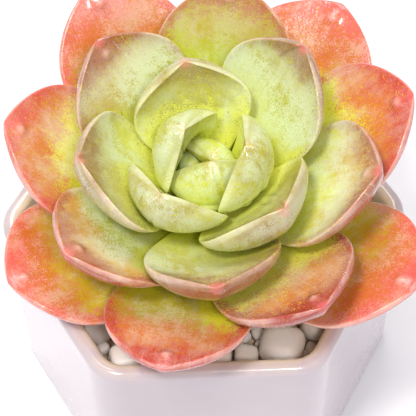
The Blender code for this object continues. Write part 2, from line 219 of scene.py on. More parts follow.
class Sketch:
    """A node tree being drawn, with short calls for the nodes used here."""

    def __init__(self, tree: bpy.types.NodeTree) -> None:
        """Keeps the tree; new nodes are laid out left to right."""
        self.tree = tree
        self.count = 0

    def node(self, kind: str, **settings: object) -> bpy.types.Node:
        """Adds a node.

        Args:
            kind: The node's Blender type.
            **settings: Properties to set on it.

        Returns:
            The node.
        """
        made = self.tree.nodes.new(kind)
        made.location = (180 * (self.count % 12), -220 * (self.count // 12))
        self.count += 1
        for label, value in settings.items():
            setattr(made, label, value)
        return made

    def feed(self, socket: Socket, value: object) -> None:
        """Links a socket to another, or sets it to a plain value."""
        if isinstance(value, Socket):
            self.tree.links.new(value, socket)
        elif isinstance(value, tuple) and len(value) == 3 and socket.type == "RGBA":
            socket.default_value = (*value, 1.0)
        else:
            socket.default_value = value

    def maths(self, kind: str, first: object, second: object) -> Socket:
        """One Math node; kind is its operation, such as ADD."""
        made = self.node("ShaderNodeMath", operation=kind)
        self.feed(made.inputs[0], first)
        self.feed(made.inputs[1], second)
        return made.outputs[0]

    def plus(self, first: object, second: object) -> Socket:
        """The sum of two values."""
        return self.maths("ADD", first, second)

    def minus(self, first: object, second: object) -> Socket:
        """The first value less the second."""
        return self.maths("SUBTRACT", first, second)

    def times(self, first: object, second: object) -> Socket:
        """The product of two values."""
        return self.maths("MULTIPLY", first, second)

    def most(self, first: object, second: object) -> Socket:
        """The larger of two values."""
        return self.maths("MAXIMUM", first, second)

    def rest(self, share: object) -> Socket:
        """What a share leaves of 1."""
        return self.minus(1.0, share)

    def fall(self, value: object, low: object, high: object) -> Socket:
        """A smooth step from 1 at low to 0 at high."""
        return self.rest(self.rise(value, low, high))

    def rise(self, value: object, low: object, high: object) -> Socket:
        """A smooth step from 0 at low to 1 at high."""
        made = self.node("ShaderNodeMapRange", interpolation_type="SMOOTHSTEP")
        for label, given in (("Value", value), ("From Min", low), ("From Max", high)):
            self.feed(made.inputs[label], given)
        return made.outputs["Result"]

    def mix(self, share: object, first: object, second: object) -> Socket:
        """Mixes two colours by a share from 0 to 1."""
        made = self.node("ShaderNodeMix", data_type="RGBA", clamp_factor=True)
        self.feed(made.inputs[0], share)
        self.feed(made.inputs[6], first)
        self.feed(made.inputs[7], second)
        return made.outputs[2]

    def tint(self, colour: object, swatch: Colour, mask: object, share: float) -> Socket:
        """Lays a swatch over a colour, by a mask held to a share."""
        return self.mix(self.times(mask, share), colour, swatch)

    def noise(
        self, vector: object, scale: float, detail: float = 2.0, rough: float = 0.5
    ) -> Socket:
        """A noise value round 0.5.

        Args:
            vector: Where it is read.
            scale: How many features to a unit of the vector.
            detail: How many finer layers.
            rough: How strong the finer layers are.

        Returns:
            The value.
        """
        made = self.node("ShaderNodeTexNoise")
        self.feed(made.inputs["Vector"], vector)
        made.inputs["Scale"].default_value = scale
        made.inputs["Detail"].default_value = detail
        made.inputs["Roughness"].default_value = rough
        return made.outputs[0]

    def cells(self, vector: object, scale: float, kind: str = "F1") -> Socket:
        """Distance within a pattern of irregular cells."""
        made = self.node("ShaderNodeTexVoronoi", feature=kind)
        self.feed(made.inputs["Vector"], vector)
        made.inputs["Scale"].default_value = scale
        return made.outputs["Distance"]

    def place(self) -> Socket:
        """The point's place in metres."""
        return self.node("ShaderNodeTexCoord").outputs["Object"]

    def value(self, label: str) -> Socket:
        """A number that the mesh holds at each point."""
        return self.node("ShaderNodeAttribute", attribute_name=label).outputs["Fac"]

    def stretched(self, *parts: object) -> Socket:
        """A vector made of three numbers."""
        made = self.node("ShaderNodeCombineXYZ")
        for socket, part in zip(made.inputs, parts):
            self.feed(socket, part)
        return made.outputs[0]

    def moved(self, vector: object, by: object) -> Socket:
        """A vector with another added to it."""
        made = self.node("ShaderNodeVectorMath", operation="ADD")
        self.feed(made.inputs[0], vector)
        self.feed(made.inputs[1], by)
        return made.outputs[0]

    def group(self, tree: bpy.types.NodeTree, **values: object) -> Socket:
        """Places a node group.

        Args:
            tree: The group.
            **values: What goes into its inputs, by name with _ for a space.

        Returns:
            Its first output.
        """
        made = self.node("ShaderNodeGroup", node_tree=tree)
        for label, value in values.items():
            self.feed(made.inputs[label.replace("_", " ")], value)
        return made.outputs[0]


class Effect(Enum):
    """Effects that several materials share, each a node group made once."""

    STIPPLE = "stipple"
    BLOOM = "waxy_bloom"
    SCRATCHES = "fine_scratches"
    SPECKS = "dark_specks"


def effect_tree(
    effect: Effect, inputs: dict[str, float | None]
) -> tuple[Sketch, dict[str, Socket], Socket]:
    """Starts a node group with named inputs and one output called Mask.

    Args:
        effect: Which effect it is.
        inputs: Name to first value; None makes a vector input.

    Returns:
        The sketch of the group, its inputs by name, and its output node's socket.
    """
    tree = bpy.data.node_groups.new(effect.value, "ShaderNodeTree")
    for label, first in inputs.items():
        kind = "NodeSocketVector" if first is None else "NodeSocketFloat"
        socket = tree.interface.new_socket(label, in_out="INPUT", socket_type=kind)
        if first is not None:
            socket.default_value = first
    tree.interface.new_socket("Mask", in_out="OUTPUT", socket_type="NodeSocketFloat")
    sketch = Sketch(tree)
    given = sketch.node("NodeGroupInput")
    result = sketch.node("NodeGroupOutput")
    return sketch, {o.name: o for o in given.outputs if o.name}, result.inputs["Mask"]


def stipple_tree() -> bpy.types.NodeTree:
    """A soft level broken into fine grains: level plus swinging noise, through a rise."""
    s, given, out = effect_tree(Effect.STIPPLE, {"Place": None, "Level": 0.0, "Grain": 0.5})
    fine = s.noise(given["Place"], 3000, 2, 0.7)
    coarse = s.noise(given["Place"], 620, 4, 0.6)
    grain = s.plus(s.times(fine, 0.75), s.times(coarse, 0.25))
    swing = s.times(s.minus(grain, 0.5), given["Grain"])
    swing = s.times(swing, 2.0)
    s.feed(out, s.rise(s.plus(given["Level"], swing), 0.15, 0.85))
    return s.tree


def bloom_tree() -> bpy.types.NodeTree:
    """Wax that lies in clouds and is rubbed thinner in faint streaks along the leaf."""
    s, given, out = effect_tree(Effect.BLOOM, {"Place": None, "Streak": None, "Cover": 0.5})
    cloud = s.noise(given["Place"], 95, 8, 0.72)
    streak = s.noise(given["Streak"], 0.8, 4, 0.6)
    wax = s.plus(s.times(cloud, 0.8), s.times(streak, 0.2))
    bare = s.minus(0.75, s.times(given["Cover"], 0.5))
    s.feed(out, s.rise(wax, s.minus(bare, 0.2), s.plus(bare, 0.2)))
    return s.tree


def scratch_tree() -> bpy.types.NodeTree:
    """Thin lines where stretched, bent cells meet, kept only in some patches."""
    s, given, out = effect_tree(Effect.SCRATCHES, {"Place": None, "Streak": None})
    bend = s.noise(given["Place"], 60, 2)
    bent = s.stretched(s.times(bend, 3.0), bend, bend)
    edge = s.cells(s.moved(given["Streak"], bent), 0.55, "DISTANCE_TO_EDGE")
    patch = s.rise(s.noise(given["Place"], 90, 2), 0.50, 0.62)
    s.feed(out, s.times(s.fall(edge, 0.004, 0.02), patch))
    return s.tree


def speck_tree() -> bpy.types.NodeTree:
    """Tiny dark grains: the middles of small cells, thinned out by a noise."""
    s, given, out = effect_tree(Effect.SPECKS, {"Place": None, "Amount": 0.5})
    dot = s.fall(s.cells(given["Place"], 1100), 0.10, 0.22)
    low = s.minus(0.80, s.times(given["Amount"], 0.35))
    thin = s.rise(s.noise(given["Place"], 420, 2), low, s.plus(low, 0.06))
    s.feed(out, s.times(dot, thin))
    return s.tree


EFFECT_BUILDERS = {
    Effect.STIPPLE: stipple_tree,
    Effect.BLOOM: bloom_tree,
    Effect.SCRATCHES: scratch_tree,
    Effect.SPECKS: speck_tree,
}
EFFECT_TREES: dict[Effect, bpy.types.NodeTree] = {}


def effect(kind: Effect) -> bpy.types.NodeTree:
    """The node group of an effect, built the first time it is asked for."""
    if kind not in EFFECT_TREES:
        EFFECT_TREES[kind] = EFFECT_BUILDERS[kind]()
    return EFFECT_TREES[kind]


def new_material(name: str) -> tuple[Sketch, bpy.types.Node, bpy.types.Material]:
    """A material with only its Principled shader.

    Args:
        name: Its name.

    Returns:
        The sketch of its tree, its Principled node and the material.
    """
    finish = bpy.data.materials.new(name)
    finish.use_nodes = True
    shader = finish.node_tree.nodes["Principled BSDF"]
    return Sketch(finish.node_tree), shader, finish


def set_shader(shader: bpy.types.Node, **values: object) -> None:
    """Sets plain values on a shader's sockets, by name with _ for a space."""
    for label, value in values.items():
        shader.inputs[label.replace("_", " ")].default_value = value


def bump(s: Sketch, shader: bpy.types.Node, height: object, depth: float, strength: float) -> None:
    """Raises the surface's normal by a height pattern.

    Args:
        s: The material's sketch.
        shader: Its Principled node.
        height: The pattern.
        depth: How deep a full step of the pattern is, in metres.
        strength: Share of the effect that is kept.
    """
    made = s.node("ShaderNodeBump")
    made.inputs["Distance"].default_value = depth
    made.inputs["Strength"].default_value = strength
    s.feed(made.inputs["Height"], height)
    s.feed(shader.inputs["Normal"], made.outputs[0])


def tone(red: int, green: int, blue: int) -> Colour:
    """Linear colour of an even-stepped swatch with channels from 0 to 255."""
    shares = np.array([red, green, blue]) / 255
    low, high = shares / 12.92, ((shares + 0.055) / 1.055) ** 2.4
    return tuple(float(v) for v in np.where(shares <= 0.04045, low, high))


# --------------------------------------------------------------------------- leaves

# How a leaf changes with its place outward from the heart: place, length, width,
# thickness, share of it above the midline, pitch at its foot, pitch at its tip, cup.
STAGES = (
    (0, 10, 12, 6.0, 0.60, 50, 140, 0.34),
    (1, 13.5, 15, 5.4, 0.50, 48, 138, 0.36),
    (2, 18, 17.5, 5.6, 0.42, 46, 134, 0.40),
    (3, 23, 20, 5.8, 0.36, 42, 122, 0.42),
    (5, 29, 23, 6.0, 0.30, 37, 96, 0.40),
    (7, 33, 27, 5.8, 0.30, 33, 76, 0.34),
    (11, 39, 28.5, 5.6, 0.30, 21, 62, 0.28),
    (15, 45, 30, 5.6, 0.30, 18, 56, 0.22),
    (19, 48, 31, 5.5, 0.30, 13, 44, 0.16),
    (22, 46, 33, 5.2, 0.30, 1, 30, 0.12),
)
# Leaves that stand a few degrees to one side of the even spiral.
TURN_ASIDE = {1: -20, 2: -12, 3: -6, 4: -24, 5: -5, 6: 4, 7: -9, 8: 3, 9: -4, 10: 3}
TURN_ASIDE |= {11: 1, 12: -7, 14: 2, 16: 5, 17: -12, 18: 8, 19: 9, 20: -9, 21: 11, 22: -5}
# Leaves longer or shorter than their stage.
LENGTH_ASIDE = {9: 1.07, 12: 1.03, 13: 0.92, 16: 0.97, 18: 0.94, 21: 0.90}


class Side(Enum):
    """The two faces of a leaf."""

    INNER = 0
    OUTER = 1


# Folds by place: the face, where the line starts at the tip and would reach the foot
# (shares of the half width), and its depth in millimetres.
CREASES = {
    2: ((Side.OUTER, 0.1, 0.5, 0.3),),
    3: ((Side.OUTER, 0.25, 0.6, 0.5), (Side.INNER, 0.0, 0.1, 0.3)),
    4: ((Side.OUTER, -0.3, -0.5, 0.45),),
    5: ((Side.OUTER, 0.1, -0.3, 0.3), (Side.INNER, 0.0, 0.2, 0.3)),
    7: ((Side.INNER, 0.1, 0.3, 0.45),),
    8: ((Side.INNER, -0.1, -0.2, 0.4),),
    9: ((Side.INNER, 0.3, 0.5, 0.25),),
}


def wave(place: int, phase: float) -> float:
    """A repeatable value between -1 and 1 that differs from leaf to leaf."""
    return math.sin(place * 2.4 + phase)


def turned(angle: float) -> Array:
    """Matrix that turns points about Z."""
    c, s = math.cos(angle), math.sin(angle)
    return np.array([[c, -s, 0], [s, c, 0], [0, 0, 1]])


def largest_near(grid: Array) -> Array:
    """Each cell takes the largest value among itself and its eight neighbours."""
    edge = np.pad(grid, 1, mode="edge")
    rows = np.maximum(np.maximum(edge[:-2], edge[1:-1]), edge[2:])
    return np.maximum(np.maximum(rows[:, :-2], rows[:, 1:-1]), rows[:, 2:])


def mean_near(grid: Array) -> Array:
    """The mean of each cell's four neighbours."""
    edge = np.pad(grid, 1, mode="edge")
    across = edge[1:-1, :-2] + edge[1:-1, 2:]
    return (edge[:-2, 1:-1] + edge[2:, 1:-1] + across) / 4


@dataclass
class Stem:
    """The leaning stalk that the leaves grow from; sizes in the rosette's frame, mm."""

    tip_radius: float = 1.2
    radius: float = 4.0
    spread: float = 0.18
    top_drop: float = 3.0
    in_soil: float = 12.0
    rows: int = 260
    around: int = 96
    scar_height: float = 0.28
    scar_pitch: float = 0.6
    spirals: tuple[int, int] = (5, 8)
    grain: float = 0.06
    end_round: float = 0.6
    corky_at: float = 30.0

    def radius_at(self, drop: Array | float) -> Array | float:
        """A cone that widens by spread for each millimetre down, up to the full radius."""
        grown = self.tip_radius + self.spread * (drop - self.top_drop)
        return np.clip(grown, self.tip_radius, self.radius)

    def build(self, rosette: "RosetteFrame", foot: float) -> bpy.types.Object:
        """Turns the stalk about its axis, with a lip under each old leaf's scar.

        The radius at height z and angle a is the cone's radius plus ridges that follow
        the leaves' spiral and grain that runs up the stalk.

        Args:
            rosette: The frame that the stalk stands in.
            foot: How far its lower end lies under the rosette's origin.

        Returns:
            The stem.
        """
        drop = np.linspace(self.top_drop, foot, self.rows)[:, None]
        a = full_turn(self.around)
        left, right = self.spirals
        climb = 2 * np.pi * drop / self.scar_pitch / (left + right)
        lip = 0.5 + 0.5 * np.sin(left * (climb + a)) * np.cos(right * (a - climb))
        grain = np.sin(17 * a + 0.8 * np.sin(drop)) * np.sin(0.9 * drop + 3 * np.sin(3 * a))
        r = self.radius_at(drop) - self.scar_height * (1 - lip**2) + self.grain * grain
        to_end = np.minimum(drop - self.top_drop, foot - drop)
        r = r * np.sqrt(np.clip(to_end / self.end_round, 0, 1))
        rings = np.stack([r * np.cos(a), r * np.sin(a), -drop + 0 * a], axis=-1)
        old = np.clip(drop / self.corky_at, 0, 1) * (drop > self.top_drop)
        return tube_piece("grown_stem", rosette.to_world(rings), {"old": old})


@dataclass
class RosetteFrame:
    """Where the rosette stands: its origin is the top of the stem and its +Z leans."""

    heart_x: float = 1.0
    heart_y: float = -1.0
    above_rim: float = 14.0
    lean: float = 12.0
    lean_towards: float = -105.0
    rim: float = field(default_factory=lambda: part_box("pot")[1].z / MM)

    def matrix(self) -> Array:
        """Turns about a level hinge square to the direction of the lean."""
        towards = math.radians(self.lean_towards)
        hinge = Vector((-math.sin(towards), math.cos(towards), 0))
        return np.array(Matrix.Rotation(math.radians(self.lean), 3, hinge))

    def to_world(self, points: Array) -> Array:
        """Points of the rosette's frame, in metres in the object's frame."""
        origin = (self.heart_x, self.heart_y, self.rim + self.above_rim)
        return (points @ self.matrix().T + origin) * MM


@dataclass
class Leaf:
    """A fleshy leaf whose midline is an arc that steepens towards the tip.

    Its frame is x outward, y across and z up the stem.  A point of it is given by u
    from foot to tip, q across as a share of the half width, and h, its height above
    the arc.  Sizes are millimetres.
    """

    place: int
    stem: Stem
    widest: float = 0.62
    foot_width: float = 0.28
    foot_flare: float = 1.3
    foot_thick: float = 0.30
    tip_blunt: float = 2.2
    tip_round: float = 0.75
    tip_fall: float = 3.0
    upper_edge: float = 1.7
    lower_edge: float = 0.85
    lighter: float = 0.94
    margin_round: float = 0.75
    keel: float = 0.35
    swelling: float = 0.65
    swelling_at: float = 0.92
    swelling_wide: float = 1.5
    ripple: float = 0.22
    drop_each: float = 0.6
    first_turn: float = 204.0
    golden_angle: float = 137.5
    heart_radius: float = 1.0
    heart_spread: float = 0.35
    stem_gap: float = 0.5
    tilt_most: float = 5.0
    sway_most: float = 1.5
    gap: float = 0.16
    pressed_thick: float = 0.5
    ease_rounds: int = 40
    open_sky: float = 1000.0
    # The mask of painted shade close under the leaves above: how deep it reaches, where the room
    # stops counting, how much of it spreads and in how many rounds.
    shelter_deep: float = 5.0
    shelter_far: float = 40.0
    shelter_kept: float = 0.97
    shelter_rounds: int = 4
    foot_shut: float = 0.03
    under_from: float = -0.8
    under_to: float = 2.0
    lattice_u: int = 96
    lattice_q: int = 72
    skin_rows: int = 220
    skin_around: int = 320
    rows: int = 120
    around: int = 144

    def __post_init__(self) -> None:
        """Works out this leaf's sizes from its place on the spiral."""
        stages = np.array(STAGES, float)
        grown = [float(np.interp(self.place, stages[:, 0], s)) for s in stages.T[1:]]
        length, self.width, self.thick, self.above, pitch, tip_pitch, self.cup = grown
        self.pitch = math.radians(pitch)
        self.bend = math.radians(tip_pitch) - self.pitch
        self.arc = length * LENGTH_ASIDE.get(self.place, 1) / self.bend
        self.drop = self.drop_each * self.place
        turn = self.first_turn - self.golden_angle * self.place
        self.turn = math.radians(turn + TURN_ASIDE.get(self.place, 0))
        bare = self.heart_radius + self.heart_spread * self.place
        self.foot = max(bare, float(self.stem.radius_at(self.drop)) + self.stem_gap)
        self.tilt = math.tan(math.radians(self.tilt_most * wave(self.place, 1.7)))
        self.sway = self.sway_most * wave(self.place, 3.4)
        self.pressed = np.zeros((self.lattice_u + 1, self.lattice_q + 1))
        self.shade_under_leaves = np.zeros_like(self.pressed)

    def parts_of_length(self, u: Array) -> tuple[Array, Array]:
        """Shares of the way from the foot to the widest place and from there to the tip."""
        outer = np.clip((u - self.widest) / (1 - self.widest), 0, 1)
        return np.clip(u / self.widest, 0, 1), outer

    def half_width(self, u: Array) -> Array:
        """A sine swell from the foot, then one less a power, rounded at the tip."""
        inner, outer = self.parts_of_length(u)
        swell = np.sin(np.pi / 2 * inner) ** self.foot_flare
        foot = self.foot_width + (1 - self.foot_width) * swell
        point = (1 - outer**self.tip_blunt) ** self.tip_round
        share = np.where(u > self.widest, point, foot)
        return self.width / 2 * share

    def plumpness(self, u: Array) -> Array:
        """Thickness along the leaf: thin at the foot, thickest past the middle."""
        inner, outer = self.parts_of_length(u)
        foot = self.foot_thick + (1 - self.foot_thick) * np.sin(np.pi / 2 * inner)
        return np.where(u > self.widest, 1 - outer**self.tip_fall, foot)

    def margin(self, u: Array, q: Array) -> Array:
        """Distance in from the margin, in millimetres."""
        return self.half_width(u) * (1 - np.abs(q))

    def free_faces(self, u: Array, q: Array) -> tuple[Array, Array]:
        """Heights of both faces before anything presses on them.

        The middle is a cup, square in q, with a tilt and slow ripples.  Each face
        stands off it by a power of the root of 1 less q squared, and a quarter circle
        rounds the margin.  A keel, the folds and the swelling are added to that.
        """
        half = self.half_width(u)
        slow = np.sin(5.5 * u + 1.7 * q + 2.1 * self.place)
        slow = slow + 0.6 * np.sin(9.0 * u - 3.1 * q + 1.3 * self.place)
        middle = self.cup * half * q**2 + self.tilt * half * q
        middle = middle + self.ripple * ease(0.15, 0.6, u) * slow * half / 15
        t = np.clip(self.margin(u, q) / self.margin_round, 0, 1)
        bead = self.margin_round * np.sqrt(t * (2 - t)) * np.minimum(1, half / 3)
        fat = self.lighter * self.thick * self.plumpness(u)
        edge = np.sqrt(np.clip(1 - q**2, 0, 1))
        ridge = self.keel * ease(0.45, 0.9, u) * np.exp(-((q / 0.2) ** 2)) * np.minimum(1, half / 6)
        upper_crease, lower_crease = self.creases(u, q, half)
        upper = middle + self.above * fat * edge**self.upper_edge + 0.5 * bead
        lower = middle - (1 - self.above) * fat * edge**self.lower_edge - 0.5 * bead - ridge
        return upper + upper_crease + self.bud(u, q), lower - lower_crease

    def creases(self, u: Array, q: Array, half: Array) -> tuple[Array, Array]:
        """A groove beside a ridge, where a leaf was folded in the bud.

        Each is a bell across a line that runs from the tip towards one side, faded in
        along the leaf; the ridge stands on one flank of the groove.
        """
        faces = [0 * u, 0 * u]
        for side, at_tip, at_foot, depth in CREASES.get(self.place, ()):
            line = at_foot + (at_tip - at_foot) * u
            away = (q - line) * half
            fade = ease(0.35, 0.6, u) * np.minimum(1, half / 3)
            shape = 0.7 * np.exp(-(((away - 0.9) / 0.7) ** 2)) - np.exp(-((away / 0.4) ** 2))
            faces[side.value] = faces[side.value] + depth * fade * shape
        return faces[0], faces[1]

    def to_bud(self, u: Array, q: Array) -> Array:
        """Distance from the middle of the swelling under the tip, in millimetres."""
        return np.hypot((u - self.swelling_at) * self.arc * self.bend, q * self.half_width(u))

    def bud(self, u: Array, q: Array) -> Array:
        """A small round swelling just under the tip of the older leaves: a bell."""
        high = self.swelling * ease(8, 14, np.float64(self.place))
        return high * np.exp(-((self.to_bud(u, q) / self.swelling_wide) ** 2))

    def faces(self, u: Array, q: Array) -> tuple[Array, Array]:
        """Heights of the upper and the lower face, pressed down by the leaves above."""
        upper, lower = self.free_faces(u, q)
        down = upper - self.read(self.pressed, u, q)
        return down, np.minimum(lower, down - self.pressed_thick * (upper - lower))

    def read(self, lattice: Array, u: Array, q: Array) -> Array:
        """Values at u and q between the points of a lattice."""
        a = np.clip(u, 0, 1) * self.lattice_u
        b = (np.clip(q, -1, 1) + 1) / 2 * self.lattice_q
        i = np.minimum(a.astype(int), self.lattice_u - 1)
        j = np.minimum(b.astype(int), self.lattice_q - 1)
        a, b = a - i, b - j
        low = lattice[i, j] * (1 - b) + lattice[i, j + 1] * b
        high = lattice[i + 1, j] * (1 - b) + lattice[i + 1, j + 1] * b
        return low * (1 - a) + high * a

    def points(self, u: Array, q: Array, h: Array) -> Array:
        """Turns u, q and h into points of the leaf's frame."""
        pitch = self.pitch + self.bend * u
        across = self.half_width(u) * q + self.sway * u**2
        out = self.foot + (self.arc - h) * np.sin(pitch) - self.arc * math.sin(self.pitch)
        up = self.arc * math.cos(self.pitch) - (self.arc - h) * np.cos(pitch)
        return np.stack([out, across, up], axis=-1)

    def measure(self, points: Array) -> tuple[Array, Array, Array]:
        """The reverse of points: u, q and h of each point."""
        x = points[:, 0] - self.foot + self.arc * math.sin(self.pitch)
        z = points[:, 2] - self.arc * math.cos(self.pitch)
        u = (np.arctan2(x, -z) - self.pitch) / self.bend
        inside = np.clip(u, 0, 1)
        half = np.maximum(self.half_width(inside), MM)
        q = (points[:, 1] - self.sway * inside**2) / half
        return u, q, self.arc - np.hypot(x, z)

    def surface(self, u: Array, around: Array) -> Array:
        """Points of the skin; around runs from one margin over the top and back under."""
        q = np.cos(around)
        upper, lower = self.faces(u, q)
        return self.points(u, q, np.where(np.sin(around) >= 0, upper, lower))

    def to_rosette(self, points: Array) -> Array:
        """Points of the leaf's frame, in the rosette's frame."""
        return points @ turned(self.turn).T - (0, 0, self.drop)

    def from_rosette(self, points: Array) -> Array:
        """Points of the rosette's frame, in the leaf's frame."""
        return (points + (0, 0, self.drop)) @ turned(self.turn)

    def yield_to(self, above: Array) -> None:
        """Presses the leaf down wherever points of the leaves above come too near.

        The lowest point above each cell of a lattice is the ceiling there.  The press is
        how far the face would stand above it, eased outward, and the shade mask is how
        close under it the face lies; the finish paints that as shade.

        Args:
            above: Points of the leaves above, in the rosette's frame.
        """
        u, q, h = self.measure(self.from_rosette(above))
        near = (np.abs(u - 0.5) < 0.52) & (np.abs(q) < 1.04) & (h > -2 * self.thick)
        i = np.clip(np.rint(u[near] * self.lattice_u), 0, self.lattice_u).astype(int)
        j = np.rint((q[near] + 1) / 2 * self.lattice_q)
        j = np.clip(j, 0, self.lattice_q).astype(int)
        ceiling = np.full(self.pressed.shape, self.open_sky)
        np.minimum.at(ceiling, (i, j), h[near])
        ceiling = -largest_near(-ceiling)
        rows = np.linspace(0, 1, self.lattice_u + 1)
        columns = np.linspace(-1, 1, self.lattice_q + 1)
        upper, _ = self.free_faces(*np.meshgrid(rows, columns, indexing="ij"))
        pressed = np.clip(upper + self.gap - ceiling, 0, None)
        for _ in range(self.ease_rounds):
            pressed = np.maximum(pressed, mean_near(pressed))
        self.pressed = pressed
        room = np.clip(ceiling - upper, 0, self.shelter_far)
        overlap_shade = np.exp(-((room / self.shelter_deep) ** 2))
        for _ in range(self.shelter_rounds):
            spread = self.shelter_kept * largest_near(overlap_shade)
            overlap_shade = mean_near(np.maximum(overlap_shade, spread))
        self.shade_under_leaves = overlap_shade

    def skin(self) -> Array:
        """Many points of the finished skin, in the rosette's frame."""
        along = (1 - np.cos(np.linspace(0, np.pi, self.skin_rows))) / 2
        around = np.linspace(0, 2 * np.pi, self.skin_around)
        u, around = np.meshgrid(along, around, indexing="ij")
        return self.to_rosette(self.surface(u, around).reshape(-1, 3))

    def build(self, rosette: RosetteFrame) -> bpy.types.Object:
        """Meshes the leaf as rings from its foot, which is closed round, to its tip.

        Args:
            rosette: The frame that the leaf grows in.

        Returns:
            The leaf, with its own measures as attributes for the finish.
        """
        along = (1 - np.cos(np.linspace(0, np.pi, self.rows))) / 2
        u, turn = np.meshgrid(along, full_turn(self.around)[0], indexing="ij")
        skin = self.surface(u, turn)
        middle = skin.mean(axis=1, keepdims=True)
        shut = np.sqrt(np.clip(1 - (1 - u / self.foot_shut) ** 2, 0, 1))
        shut = np.where(u < self.foot_shut, shut, 1.0)[..., None]
        rings = self.to_rosette(middle + (skin - middle) * shut)
        q = np.cos(turn)
        aside, margin = q * self.half_width(u), self.margin(u, q)
        below = -np.sign(np.sin(turn))
        under = ease(self.under_from, self.under_to, margin * below)
        values = {
            "along": u,
            "aside": aside,
            "margin": margin,
            "to_tip": np.hypot((1 - u) * self.arc * self.bend, aside),
            "to_bud": self.to_bud(u, q),
            "under": under,
            # How close under other leaves each point lies: the mask of painted shade.
            "shade_under_leaves": self.read(self.shade_under_leaves, u, q) * (1 - under),
        }
        return tube_piece(f"fleshy_leaf_{self.place + 1:02d}", rosette.to_world(rings), values)


# How a leaf's finish changes with its place: place, then a swatch, for four zones from
# the foot to the tip.
# The foot tones are partly painted light and shade: the inner leaves' feet are lifted to stay
# bright down in the heart, and the older leaves' feet are darker and deeper yellow-green like the
# shaded creases they lie in; the rest is their own yellow-green flesh.  All four tables were
# matched leaf by leaf, so the steps up and down between neighbouring places are partly painted
# light and shade.
FOOT_TONES = (
    (0, 216, 226, 76),
    (5, 232, 236, 90),
    (7, 236, 236, 110),
    (9, 206, 208, 60),
    (10, 192, 196, 34),
    (12, 186, 190, 14),
    (14, 180, 188, 14),
    (16, 196, 196, 14),
    (18, 214, 214, 30),
    (22, 216, 200, 24),
)
BODY_TONES = (
    (0, 206, 216, 66),
    (3, 236, 238, 76),
    (5, 238, 238, 96),
    (7, 208, 206, 90),
    (9, 178, 180, 56),
    (10, 216, 208, 100),
    (11, 176, 174, 56),
    (12, 210, 214, 94),
    (13, 170, 170, 60),
    (14, 178, 184, 52),
    (15, 228, 214, 112),
    (17, 212, 216, 66),
    (18, 168, 154, 32),
    (22, 200, 168, 40),
)
HIGH_TONES = (
    (0, 204, 212, 58),
    (3, 196, 194, 46),
    (5, 186, 182, 50),
    (7, 180, 168, 56),
    (9, 184, 178, 76),
    (11, 182, 160, 68),
    (13, 210, 162, 80),
    (14, 182, 166, 60),
    (15, 200, 122, 58),
    (18, 206, 112, 52),
    (22, 192, 100, 40),
)
TIP_TONES = (
    (0, 178, 182, 46),
    (3, 156, 152, 40),
    (5, 160, 146, 50),
    (7, 150, 116, 44),
    (9, 140, 88, 40),
    (11, 152, 72, 40),
    (13, 166, 66, 40),
    (14, 172, 90, 46),
    (15, 160, 54, 44),
    (16, 204, 86, 78),
    (18, 182, 54, 52),
    (19, 210, 92, 84),
    (22, 212, 94, 84),
)
# Place, how far in from the margin the blush comes (mm), how much of the leaf the wax
# covers, and how much olive shows where the wax is rubbed off.
WEAR = (
    (0, 0.2, 0.60, 0.9),
    (4, 0.5, 0.60, 0.9),
    (8, 1.6, 0.62, 0.6),
    (12, 2.4, 0.58, 0.4),
    (15, 3.0, 0.52, 0.2),
    (18, 3.6, 0.46, 0.1),
    (22, 4.0, 0.42, 0.0),
)
# Values that step from one group of leaves to the next: the first place of the group,
# how bare of wax the tip is, where along the leaf that starts, how white the wax is and
# how strong the pink point at the tip is.
GROUPS = (
    (0, 0.75, 0.55, 0.52, 0.08),
    (6, 0.75, 0.55, 0.52, 0.30),
    (8, 0.75, 0.65, 0.52, 0.30),
    (9, 0.75, 0.65, 0.58, 0.42),
    (14, 0.75, 0.65, 0.28, 0.42),
    (16, 0.30, 0.65, 0.28, 0.42),
)


def blended(table: tuple[tuple[float, ...], ...], place: int) -> tuple[float, ...]:
    """The values of a leaf's place, read between a table's rows."""
    rows = np.array(table, float)
    return tuple(float(np.interp(place, rows[:, 0], column)) for column in rows.T[1:])


@dataclass(frozen=True)
class Skin:
    """What a leaf's nodes read at each point."""

    place: Socket
    streak: Socket
    along: Socket
    margin: Socket
    under: Socket
    run: Socket
    # Mask of the painted shade close under other leaves.
    overlap_shade: Socket


